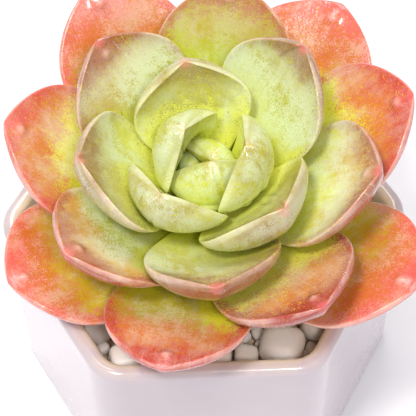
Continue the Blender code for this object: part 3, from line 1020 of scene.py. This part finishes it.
@dataclass(frozen=True)
class LeafFinish:
    """Green flesh under wax, blushed red towards its tip and margins."""

    place: int
    first_in_rosette: int = 9
    first_warm_lip: int = 8
    first_with_swelling: int = 11
    drift: float = 0.45
    # How strong the painted shade close under other leaves is.
    overlap_shade: float = 0.85
    under_blush: float = 0.15
    under_bare: float = 0.6
    bare_band: float = 0.35
    vein_tone: Colour = tone(180, 190, 80)
    olive_tone: Colour = tone(176, 174, 34)
    wax_tone: Colour = tone(226, 242, 216)
    scratch_tone: Colour = tone(240, 242, 230)
    green_lip: Colour = tone(236, 244, 214)
    warm_lip: Colour = tone(246, 216, 206)
    point_tone: Colour = tone(220, 104, 104)
    # Pale tone of the painted highlight on the swelling.
    swelling_highlight_tone: Colour = tone(252, 210, 194)
    speck_tone: Colour = tone(84, 70, 20)

    def read(self, s: Sketch) -> Skin:
        """Reads the leaf's own measures; run is along with slow drifts added to it."""
        place, along = s.place(), s.value("along")
        cloud = s.noise(place, 70, 5, 0.6)
        drift = s.times(s.minus(cloud, 0.5), self.drift)
        # The mask of painted shade under other leaves, drifted like run.
        overlap_shade = s.rise(s.plus(s.value("shade_under_leaves"), drift), 0.3, 1.1)
        aside = s.times(s.value("aside"), 0.8)
        return Skin(
            place=place,
            streak=s.stretched(aside, s.times(along, 3.0), float(self.place)),
            along=along,
            margin=s.value("margin"),
            under=s.value("under"),
            run=s.plus(along, drift),
            overlap_shade=s.times(overlap_shade, self.overlap_shade),
        )

    def stipple(self, s: Sketch, skin: Skin, level: object, grain: float) -> Socket:
        """A level broken into fine grains."""
        return s.group(effect(Effect.STIPPLE), Place=skin.place, Level=level, Grain=grain)

    def flesh(self, s: Sketch, skin: Skin, olive: float) -> Socket:
        """Foot and body tones, with faint veins and olive patches; close under other leaves the
        foot tone comes back, partly as paler flesh grown out of the sun and partly as painted
        shade.
        """
        foot, body = (tone(*blended(table, self.place)) for table in (FOOT_TONES, BODY_TONES))
        grown = s.times(s.rise(skin.run, 0.15, 0.55), s.rest(skin.overlap_shade))
        colour = s.mix(grown, foot, body)
        veins = s.rise(s.noise(skin.streak, 2.2, 3, 0.6), 0.48, 0.78)
        colour = s.tint(colour, self.vein_tone, veins, 0.12)
        outer = s.times(s.rise(skin.along, 0.5, 0.9), 0.08)
        patch = s.plus(s.noise(skin.place, 90, 6, 0.65), outer)
        return s.tint(colour, self.olive_tone, s.rise(patch, 0.52, 0.66), olive)

    def blush(self, s: Sketch, skin: Skin, colour: Socket, rim: float) -> Socket:
        """Two warmer tones that come in from the tip and, by rim, from the margins."""
        high, tip = (tone(*blended(table, self.place)) for table in (HIGH_TONES, TIP_TONES))
        side = s.fall(skin.margin, 0.3, rim + 2.0)
        side = s.times(side, s.rise(skin.along, 0.3, 0.8))
        side = s.times(side, min(1.0, rim / 2.5))
        shift = self.under_blush if self.place >= self.first_in_rosette else 0.0
        outward = s.plus(skin.run, s.times(skin.under, shift))
        level = s.most(s.rise(outward, 0.5, 0.8), side)
        colour = s.mix(self.stipple(s, skin, level, 1.7), colour, high)
        level = s.most(s.rise(outward, 0.70, 1.0), s.times(side, 0.8))
        return s.mix(self.stipple(s, skin, level, 1.9), colour, tip)

    def wax(self, s: Sketch, skin: Skin, cover: float, bare_tip: float, bare_from: float) -> Socket:
        """Where the wax lies: thinner at the foot and at the tip, and taken away close under other
        leaves as painted shade.
        """
        wax = s.group(effect(Effect.BLOOM), Place=skin.place, Streak=skin.streak, Cover=cover)
        band = s.times(s.rise(skin.run, bare_from, bare_from + self.bare_band), bare_tip)
        in_bud = self.place < self.first_in_rosette
        if in_bud:
            band = s.times(band, s.rest(skin.under))
        band = s.minus(s.rise(skin.along, 0.2, 0.5), band)
        band = s.times(band, s.rest(skin.overlap_shade))
        if not in_bud:
            band = s.times(band, s.rest(s.times(skin.under, self.under_bare)))
        return s.times(self.stipple(s, skin, wax, 1.3), band)

    def marks(self, s: Sketch, skin: Skin, colour: Socket, pink: float) -> Socket:
        """Scratches, a pale lip along the margin, the pink point, a painted highlight on the
        swelling and dark specks.
        """
        lines = s.group(effect(Effect.SCRATCHES), Place=skin.place, Streak=skin.streak)
        colour = s.tint(colour, self.scratch_tone, lines, 0.16)
        # A pale lip along the margin, broken into patches.
        lip = s.times(s.fall(skin.margin, 0.0, 0.35), s.rise(skin.along, 0.15, 0.4))
        lip = s.times(lip, s.rise(s.noise(skin.place, 160, 3), 0.3, 0.6))
        warm = self.place >= self.first_warm_lip
        colour = s.tint(colour, self.warm_lip if warm else self.green_lip, lip, 0.35)
        at_tip = s.fall(s.value("to_tip"), 0.3, 2.6)
        colour = s.tint(colour, self.point_tone, self.stipple(s, skin, at_tip, 0.6), pink)
        # A painted highlight: a pale pinkish spot on the swelling under the tip.
        if self.place >= self.first_with_swelling:
            pale = s.times(s.fall(s.value("to_bud"), 0.0, 1.5), s.rest(skin.under))
            colour = s.tint(colour, self.swelling_highlight_tone, pale, 0.34)
        # Dark specks grow denser near the foot and, as painted shade, close under other leaves.
        foot_and_shade = s.most(s.fall(skin.along, 0.2, 0.75), s.times(skin.overlap_shade, 1.1))
        specks = s.group(effect(Effect.SPECKS), Place=skin.place, Amount=foot_and_shade)
        return s.tint(colour, self.speck_tone, specks, 0.75)

    def make(self) -> bpy.types.Material:
        """Lays flesh, blush, wax and marks over each other on a glossy, fleshy shader."""
        rim, cover, olive = blended(WEAR, self.place)
        _, bare_tip, bare_from, white, pink = [row for row in GROUPS if row[0] <= self.place][-1]
        s, shader, finish = new_material(f"leaf_skin_{self.place + 1:02d}")
        skin = self.read(s)
        colour = self.blush(s, skin, self.flesh(s, skin, olive), rim)
        wax = self.wax(s, skin, cover, bare_tip, bare_from)
        colour = s.tint(colour, self.wax_tone, wax, white)
        s.feed(shader.inputs["Base Color"], self.marks(s, skin, colour, pink))
        rough = s.plus(0.14, s.times(wax, 0.12))
        rough = s.plus(rough, s.times(s.noise(skin.place, 900, 2), 0.06))
        s.feed(shader.inputs["Roughness"], rough)
        set_shader(shader, IOR=1.45, Specular_IOR_Level=0.3)
        set_shader(shader, Subsurface_Weight=0.25, Subsurface_Scale=0.0015)
        set_shader(shader, Subsurface_Radius=(1.0, 0.9, 0.25))
        set_shader(shader, Coat_Weight=0.6, Coat_Roughness=0.14, Coat_IOR=1.45)
        pores = s.plus(s.times(s.cells(skin.place, 1500), 0.35), s.noise(skin.place, 420, 3, 0.6))
        height = s.plus(pores, s.times(s.noise(skin.place, 130, 3), 0.9))
        bump(s, shader, height, 0.00014, 0.6)
        return finish


# ------------------------------------------------------------------------------ pot


def hexagon(flats: Array, corner: Array, angle: Array) -> tuple[Array, Array]:
    """Points of a six-sided outline with round corners, sides facing -Y and +Y.

    Each sixth of the turn is split at a corner circle's centre, which lies on the
    corner's own direction; the outline there is the circle, and the flat elsewhere.

    Args:
        flats: Distance across the flats.
        corner: Radius of the upright corners.
        angle: Directions from the middle, in radians.

    Returns:
        x and y of the outline in each direction.
    """
    sixth = np.pi / 3
    off = np.mod(angle, sixth) - sixth / 2
    to_corner = np.where(off >= 0, off - sixth / 2, off + sixth / 2)
    side = flats / 2
    centre = (side - corner) / math.cos(sixth / 2)
    reach = centre * np.cos(to_corner)
    root = np.sqrt(np.clip(corner**2 - (centre * np.sin(to_corner)) ** 2, 0, None))
    on_flat = side / np.cos(off)
    touches = np.abs(np.tan(off)) * side < centre * math.sin(sixth / 2)
    r = np.where(touches, on_flat, reach + root)
    return r * np.cos(angle), r * np.sin(angle)


@dataclass(frozen=True)
class Glaze:
    """White glaze, a little lilac on the walls, warmer where it thins over the rim."""

    name: str = "white_glaze"

    def make(self) -> bpy.types.Material:
        """Pooled tone, thin-glaze line at the inner rim, pinholes and slow waves."""
        s, shader, finish = new_material(self.name)
        place = s.place()
        pool = s.noise(place, 28, 3, 0.5)
        colour = s.mix(s.rise(pool, 0.35, 0.7), tone(184, 171, 177), tone(190, 178, 184))
        colour = s.mix(s.value("inner"), colour, tone(232, 214, 196))
        worn = s.times(s.value("thin"), s.rise(s.noise(place, 240, 3), 0.25, 0.6))
        colour = s.tint(colour, tone(238, 222, 176), worn, 0.7)
        holes = s.group(effect(Effect.SPECKS), Place=place, Amount=0.12)
        colour = s.tint(colour, tone(150, 136, 120), holes, 0.35)
        s.feed(shader.inputs["Base Color"], colour)
        s.feed(shader.inputs["Roughness"], s.plus(0.10, s.times(s.noise(place, 180, 3), 0.10)))
        set_shader(shader, IOR=1.5, Coat_Weight=0.5, Coat_Roughness=0.06)
        bump(s, shader, s.plus(s.noise(place, 45, 2), s.times(holes, -0.4)), 0.0005, 0.35)
        return finish


@dataclass
class Pot:
    """Six-sided glazed cup with a rounded rim and drain holes; sizes in millimetres."""

    flats: float = 80.0
    height: float = field(default_factory=lambda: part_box("pot")[1].z / MM)
    wall: float = 3.8
    floor: float = 5.0
    corner: float = 9.0
    turn: float = 1.0
    rim_round: float = 1.7
    inner_round: float = 4.0
    least_corner: float = 0.8
    steps: int = 10
    around: int = 720
    drains: int = 3
    drain_radius: float = 3.0
    drain_ring: float = 15.0

    def profile(self) -> tuple[Array, Array, Array, Array]:
        """Inset and height from under the floor, up the wall, over the rim and down.

        Quarter circles round the foot, both edges of the rim and the inner bottom.

        Returns:
            Inset from the outer face, height, a share for the inside, and one for the
            thin glaze along the rim's inner edge.
        """
        r, q = self.rim_round, np.linspace(0, np.pi / 2, self.steps)
        deep = self.flats / 2 - 0.01
        under = np.linspace(deep, r, 12, endpoint=False)
        foot_in, foot_up = r - r * np.sin(q), r - r * np.cos(q)
        up = np.linspace(r, self.height - r, 40)[1:-1]
        top_in, top_up = r - r * np.cos(q), self.height - r + r * np.sin(q)
        over_in = self.wall - r + r * np.sin(q)
        over_up = self.height - r + r * np.cos(q)
        down = np.linspace(self.height - r, self.floor + self.inner_round, 30)[1:-1]
        bowl_in = self.wall + self.inner_round * (1 - np.cos(q))
        bowl_up = self.floor + self.inner_round * (1 - np.sin(q))
        across = np.linspace(self.wall + self.inner_round, deep, 12)[1:]
        inset = (under, foot_in, 0 * up, top_in, over_in, self.wall + 0 * down, bowl_in, across)
        level = (0 * under, foot_up, up, top_up, over_up, down, bowl_up, self.floor + 0 * across)
        inside = (0 * under, 0 * foot_in, 0 * up, 0 * top_in, np.linspace(0, 1, self.steps))
        inside += (1 + 0 * down, 1 + 0 * bowl_in, 1 + 0 * across)
        thin = (0 * under, 0 * foot_in, 0 * up, 0.25 * np.sin(q), 0.3 + 0.7 * np.sin(q))
        thin += (np.clip(1 - np.arange(len(down)), 0, 1), 0 * bowl_in, 0 * across)
        return tuple(np.concatenate(parts) for parts in (inset, level, inside, thin))

    def build(self) -> bpy.types.Object:
        """Carries the profile round the hexagon and cuts the drain holes.

        Returns:
            The pot.
        """
        inset, level, inside, thin = self.profile()
        flats = (self.flats - 2 * inset)[:, None]
        corner = np.clip(self.corner - inset, self.least_corner, None)[:, None]
        outline = hexagon(flats, np.minimum(corner, flats / 2), full_turn(self.around))
        x, y = spin(*outline, self.turn)
        rings = np.stack([x, y, level[:, None] + 0 * x], axis=-1)
        for end in (0, -1):
            rings[end, :, :2] = 0
        shares = {"inner": inside[:, None], "thin": thin[:, None]}
        pot = tube_piece("glazed_pot", rings * MM, shares)
        self.drill(pot)
        return pot

    def drill(self, pot: bpy.types.Object) -> None:
        """Cuts the drain holes with upright round cutters, then drops the cutters."""
        a = full_turn(48)
        r = np.array([0, 1, 1, 0])[:, None] * self.drain_radius
        z = np.array([-1, -1, 2, 2])[:, None] * self.floor
        cutters = []
        for i in range(self.drains):
            turn = math.radians(90 + 360 * i / self.drains)
            x = self.drain_ring * math.cos(turn) + r * np.cos(a)
            y = self.drain_ring * math.sin(turn) + r * np.sin(a)
            rings = np.stack([x, y, z + 0 * x], axis=-1)
            cutter = tube_piece(f"drain_cutter_{i + 1}", rings * MM)
            cut = pot.modifiers.new(cutter.name, "BOOLEAN")
            cut.operation, cut.object = "DIFFERENCE", cutter
            cutters.append(cutter)
        bpy.context.view_layer.update()
        graph = bpy.context.evaluated_depsgraph_get()
        drilled = bpy.data.meshes.new_from_object(pot.evaluated_get(graph))
        pot.modifiers.clear()
        pot.data = drilled
        for cutter in cutters:
            bpy.data.objects.remove(cutter, do_unlink=True)


# --------------------------------------------------------------- soil, stem, pebbles


@dataclass(frozen=True)
class Earth:
    """Pale tan, crumbly potting grit."""

    name: str = "potting_soil"

    def make(self) -> bpy.types.Material:
        """Crumbs between two tans, with fibres of a tan between them, dull all over."""
        s, shader, finish = new_material(self.name)
        place = s.place()
        crumb = s.noise(place, 520, 5, 0.65)
        colour = s.mix(s.rise(crumb, 0.38, 0.62), tone(196, 166, 136), tone(236, 214, 186))
        fibre = s.fall(s.cells(place, 700), 0.0, 0.12)
        colour = s.tint(colour, tone(214, 194, 164), fibre, 0.6)
        s.feed(shader.inputs["Base Color"], colour)
        s.feed(shader.inputs["Roughness"], s.plus(0.8, s.times(crumb, 0.18)))
        bump(s, shader, crumb, 0.0006, 0.9)
        return finish


@dataclass
class Soil:
    """The bed under the pebbles: the pot's inside outline with a rough top; mm."""

    pot: Pot
    gap: float = 0.4
    rough: float = 0.45
    highest: float = 1.5
    foot_taper: float = 0.06
    around: int = 300
    under_rows: int = 6
    wall_rows: int = 14
    top_rows: int = 110
    level: float = field(default_factory=lambda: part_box("soil")[1].z / MM)
    bottom: float = field(default_factory=lambda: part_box("soil")[0].z / MM)

    def build(self) -> bpy.types.Object:
        """A closed block whose top is raised by sums of crossing sines."""
        flats = self.pot.flats - 2 * self.pot.wall - 2 * self.gap
        under, top = np.linspace(0, 1, self.under_rows), np.linspace(1, 0, self.top_rows)
        share = np.concatenate([under, np.ones(self.wall_rows), top])[:, None]
        wall = np.linspace(self.bottom, self.level, self.wall_rows + 2)[1:-1]
        level = np.concatenate([0 * under + self.bottom, wall, 0 * top + self.level])[:, None]
        corner = 0 * share + self.pot.corner - self.pot.wall
        x, y = hexagon(0 * share + flats, corner, full_turn(self.around))
        low = np.clip((self.bottom + self.pot.inner_round - level) / self.pot.inner_round, 0, 1)
        pull = (1 - self.foot_taper * low**2) * share
        x, y = spin(x * pull, y * pull, self.pot.turn)
        crumbs = np.sin(2.3 * x + 1.1 * np.sin(1.9 * y)) * np.sin(2.1 * y + 1.3 * np.sin(1.7 * x))
        crumbs = crumbs + 0.5 * np.sin(5.1 * x + y) * np.sin(4.7 * y - x)
        on_top = np.arange(len(share))[:, None] >= self.under_rows + self.wall_rows
        z = level + on_top * self.rough * (crumbs - self.highest) / self.highest
        rings = np.stack([x, y, z], axis=-1)
        rings[-1] = rings[-1].mean(axis=0)
        return tube_piece("soil_bed", rings * MM)


@dataclass(frozen=True)
class Bark:
    """The stalk: green at the top, tan and corky lower down."""

    name: str = "stalk_bark"

    def make(self) -> bpy.types.Material:
        """Green flesh that turns to cork with age, in two tones of a fine grain."""
        s, shader, finish = new_material(self.name)
        place, old = s.place(), s.value("old")
        grain = s.noise(place, 600, 4, 0.6)
        cork = s.mix(grain, tone(120, 92, 58), tone(186, 156, 110))
        age = s.rise(s.plus(old, s.times(grain, 0.2)), 0.15, 0.6)
        colour = s.mix(age, tone(176, 184, 96), cork)
        s.feed(shader.inputs["Base Color"], colour)
        s.feed(shader.inputs["Roughness"], s.plus(0.6, s.times(grain, 0.3)))
        bump(s, shader, grain, 0.0003, 0.6)
        return finish


@dataclass(frozen=True)
class Stone:
    """White pebble with warm and grey drifts and a fine chalky grain."""

    name: str
    seed: float
    light: Colour = tone(242, 236, 230)
    warm: Colour = tone(232, 210, 188)
    grey: Colour = tone(228, 222, 220)

    def make(self) -> bpy.types.Material:
        """Two slow drifts of tone under pits and a powdery grain."""
        s, shader, finish = new_material(self.name)
        place = s.moved(s.place(), (self.seed, 0.3 * self.seed, 0.7 * self.seed))
        drift = s.rise(s.noise(place, 130, 4, 0.55), 0.42, 0.72)
        colour = s.tint(self.light, self.warm, drift, 0.7)
        cloud = s.rise(s.noise(place, 260, 4, 0.6), 0.5, 0.75)
        colour = s.tint(colour, self.grey, cloud, 0.6)
        specks = s.group(effect(Effect.SPECKS), Place=place, Amount=0.25)
        colour = s.tint(colour, tone(150, 128, 104), specks, 0.4)
        s.feed(shader.inputs["Base Color"], colour)
        s.feed(shader.inputs["Roughness"], s.plus(0.45, s.times(cloud, 0.25)))
        grain = s.plus(s.noise(place, 1300, 3, 0.6), s.times(s.noise(place, 300, 2), 1.5))
        bump(s, shader, grain, 0.0002, 0.5)
        return finish


@dataclass
class Pebbles:
    """Pale stones on the soil: one for each CAD pebble, and small ones between; mm."""

    rings: int = 40
    around: int = 56
    small_rings: int = 9
    small_around: int = 12
    small: int = 280
    small_least: float = 1.0
    small_most: float = 2.1
    small_sink: float = 0.2
    small_lift: float = 1.5
    small_near: float = 0.82
    small_close: float = 0.9
    wall_gap: float = 1.0
    tries: int = 6000
    swell: float = 1.02
    large_near: float = 0.82
    stem_back: float = 3.0
    stem_room: float = 6.0
    seed: int = 23

    def stone(
        self, rng: np.random.Generator, half: Array, turn: float, rings: int, around: int
    ) -> Array:
        """A squared-off ball with lumps and a few soft flats.

        The ball's direction is scaled by the sum of its parts' powers to a negative
        root, then by one plus three crossing sines, and laid along its long axis.

        Args:
            rng: Source of the lumps.
            half: Half sizes along, across and up.
            turn: Direction of the long axis, in radians.
            rings: Rows of points from pole to pole.
            around: Points in a row.

        Returns:
            Points shaped (rings, around, 3), centred on the middle.
        """
        p = np.linspace(-np.pi / 2, np.pi / 2, rings)[:, None]
        a = full_turn(around)
        ball = np.stack([np.cos(p) * np.cos(a), np.cos(p) * np.sin(a), np.sin(p) + 0 * a], axis=-1)
        square = rng.uniform(2.6, 4.0)
        size = (np.abs(ball) ** square).sum(axis=-1) ** (-1 / square)
        for pull, depth in ((1.6, 0.035), (3.4, 0.018), (7.0, 0.006)):
            waves = np.sin(ball @ rng.uniform(-pull, pull, (3, 3)) + rng.uniform(0, 6, 3))
            size = size + depth * waves.sum(axis=-1)
        ball = ball * size[..., None]
        spread = np.abs(ball).reshape(-1, 3).max(axis=0)
        return (ball / spread * half) @ turned(turn).T

    def build_large(self, node: str, index: int) -> bpy.types.Object:
        """A fine stone where a CAD pebble lies: as high, and longer and wider by swell.

        Args:
            node: Name of the CAD pebble.
            index: Its number.

        Returns:
            The stone.
        """
        rng = np.random.default_rng(self.seed + index)
        cad = np.array([v.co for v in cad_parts[node].data.vertices]) / MM
        low, high = cad.min(axis=0), cad.max(axis=0)
        middle = (low + high) / 2
        spread = np.cov((cad - middle)[:, :2].T)
        axis = np.linalg.eigh(spread)[1][:, 1]
        turn = math.atan2(axis[1], axis[0])
        half = np.abs((cad - middle) @ turned(turn)).max(axis=0) * (self.swell, self.swell, 1)
        rings = self.stone(rng, half, turn, self.rings, self.around) + middle
        return tube_piece(f"stone_{index:02d}", rings * MM)

    def build_small(self, soil: Soil, taken: list[tuple[float, float, float]]) -> bpy.types.Object:
        """Many small stones in the gaps, some higher than others, joined as one piece.

        Args:
            soil: The bed they lie on.
            taken: (x, y, radius) of the large stones and of the stem.

        Returns:
            The piece.
        """
        rng = np.random.default_rng(self.seed)
        reach = soil.pot.flats / 2 - soil.pot.wall - self.wall_gap
        sides = np.radians(30 + 60 * np.arange(6) + soil.pot.turn)
        centres = np.array(taken)
        found: list[Array] = []
        for _ in range(self.tries):
            x, y = rng.uniform(-reach, reach, 2) * (1.1, 1.0)
            r = rng.uniform(self.small_least, self.small_most)
            inside = (x * np.cos(sides) + y * np.sin(sides)).max() < reach - r
            room = np.hypot(centres[:, 0] - x, centres[:, 1] - y) - centres[:, 2]
            if not inside or room.min() < self.small_near * r:
                continue
            centres = np.concatenate([centres, [[x, y, self.small_close * r]]])
            half = r * np.array([1, rng.uniform(0.7, 0.95), rng.uniform(0.7, 0.95)])
            turn = rng.uniform(0, np.pi)
            stone = self.stone(rng, half, turn, self.small_rings, self.small_around)
            z = soil.level - self.small_sink + half[2] + rng.uniform(0, self.small_lift)
            found.append(stone + (x, y, z))
            if len(found) == self.small:
                break
        tubes = [capped_tube(rings * MM) for rings in found]
        each = len(tubes[0][0])
        points = np.concatenate([tube[0] for tube in tubes])
        quads = np.concatenate([tube[1] + i * each for i, tube in enumerate(tubes)])
        triangles = np.concatenate([tube[2] + i * each for i, tube in enumerate(tubes)])
        return mesh_piece("small_stones", points, quads, triangles)


# --------------------------------------------------------------------------- studio


@dataclass(frozen=True)
class Lamp:
    """A square soft light; metres and watts."""

    name: str
    place: tuple[float, float, float]
    size: float
    power: float
    colour: Colour


LAMPS = (
    Lamp("key", (-0.18, -0.2, 0.8), 0.14, 4.0, (1.0, 0.99, 0.96)),
    Lamp("overhead", (-0.05, 0.32, 0.7), 0.3, 1.7, (1.0, 0.99, 0.96)),
    Lamp("spark", (0.1, -0.34, 0.6), 0.1, 1.4, (1.0, 0.99, 0.98)),
)


@dataclass
class Studio:
    """Pale floor, sky, lamps from above and the camera; metres."""

    target: tuple[float, float, float] = (0.001, 0.0011, 0.0577)
    distance: float = 0.335
    height_angle: float = 57.0
    roll: float = -1.2
    lens: float = 130.24
    sensor: float = 36.0
    floor_half: float = 1.5
    floor_tones: tuple[Colour, Colour] = ((0.845, 0.84, 0.855), (0.865, 0.86, 0.87))
    sky: Colour = (0.95, 0.94, 1.0)
    sky_strength: float = 0.62

    def floor(self) -> bpy.types.Object:
        """A wide pale sheet that the pot stands on."""
        side = np.array([-self.floor_half, self.floor_half])
        x, y = np.meshgrid(side, side)
        points = np.stack([x, y, 0 * x], axis=-1).reshape(-1, 3)
        sheet = mesh_piece("floor", points, np.array([[0, 1, 3, 2]]))
        s, shader, finish = new_material("floor_white")
        grain = s.noise(s.place(), 40, 3)
        s.feed(shader.inputs["Base Color"], s.mix(grain, *self.floor_tones))
        set_shader(shader, Roughness=0.9)
        sheet.data.materials.append(finish)
        return sheet

    def light(self, lamp: Lamp) -> None:
        """Hangs a lamp aimed at the plant."""
        data = bpy.data.lights.new(lamp.name, "AREA")
        data.shape, data.size, data.energy = "SQUARE", lamp.size, lamp.power
        data.color = lamp.colour
        hung = bpy.data.objects.new(lamp.name, data)
        bpy.context.scene.collection.objects.link(hung)
        hung.location = lamp.place
        aim = Vector(self.target) - Vector(lamp.place)
        hung.rotation_euler = aim.to_track_quat("-Z", "Y").to_euler()

    def build(self) -> None:
        """Sets the floor, the sky, the lamps, the camera and colours shown as they are."""
        self.floor()
        world = bpy.data.worlds.new("soft_surround")
        world.use_nodes = True
        sky = world.node_tree.nodes["Background"]
        sky.inputs["Color"].default_value = (*self.sky, 1)
        sky.inputs["Strength"].default_value = self.sky_strength
        scene = bpy.context.scene
        scene.world = world
        for lamp in LAMPS:
            self.light(lamp)
        scene.view_settings.view_transform = "Standard"
        scene.view_settings.look = "None"
        data = bpy.data.cameras.new("view")
        data.lens, data.sensor_width = self.lens, self.sensor
        camera = bpy.data.objects.new("view", data)
        scene.collection.objects.link(camera)
        up = math.radians(self.height_angle)
        aside = Vector((0, -math.cos(up), math.sin(up)))
        camera.location = Vector(self.target) + aside * self.distance
        turn = aside.to_track_quat("Z", "Y").to_matrix()
        turn = turn @ Matrix.Rotation(math.radians(self.roll), 3, "Z")
        camera.rotation_euler = turn.to_euler()
        scene.camera = camera


def build_leaves(stem: Stem, rosette: RosetteFrame) -> None:
    """Grows the leaves from the heart outward, each pressed down by those inside it."""
    count = sum(name.startswith("leaf_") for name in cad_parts)
    above = np.empty((0, 3))
    for place in range(count):
        leaf = Leaf(place, stem)
        leaf.yield_to(above)
        above = np.concatenate([above, leaf.skin()])
        ring = "leaf_inner" if place < FIRST_MIDDLE_LEAF else "leaf_middle"
        ring = ring if place < FIRST_OUTER_LEAF else "leaf_outer"
        piece = leaf.build(rosette)
        dress(piece, LeafFinish(place).make(), ring, f"leaf_{place + 1:02d}")


def build_pebbles(soil: Soil) -> None:
    """Lays a stone for each CAD pebble and small ones in the gaps."""
    pebbles = Pebbles()
    nodes = sorted(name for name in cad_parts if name.startswith("pebble_"))
    finishes = [Stone(f"pale_stone_{k + 1}", 0.7 * k).make() for k in range(STONE_FINISHES)]
    taken = []
    for i, node in enumerate(nodes):
        dress(pebbles.build_large(node, i + 1), finishes[i % STONE_FINISHES], "pebble", node)
        low, high = (np.array(corner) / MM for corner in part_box(node))
        middle, half = (low + high) / 2, (high - low) / 2
        taken.append((middle[0], middle[1], pebbles.large_near * max(half[0], half[1])))
    low, high = (np.array(corner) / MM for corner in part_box("stem"))
    middle = (low + high) / 2
    taken.append((middle[0], middle[1] + pebbles.stem_back, pebbles.stem_room))
    small = pebbles.build_small(soil, taken)
    dress(small, Stone("small_stone", 5.0).make(), "pebble")


def main() -> None:
    """Builds the pot, its soil, the plant, the pebbles and the studio, in that order."""
    logging.basicConfig(level=logging.INFO, format="%(message)s")
    pot = Pot()
    dress(pot.build(), Glaze().make(), "glaze", "pot")
    soil = Soil(pot)
    dress(soil.build(), Earth().make(), "soil", "soil")
    rosette, stem = RosetteFrame(), Stem()
    foot = rosette.above_rim + rosette.rim - soil.level + stem.in_soil
    dress(stem.build(rosette, foot), Bark().make(), "stem", "stem")
    build_leaves(stem, rosette)
    build_pebbles(soil)
    Studio().build()


if __name__ == "__main__":
    main()
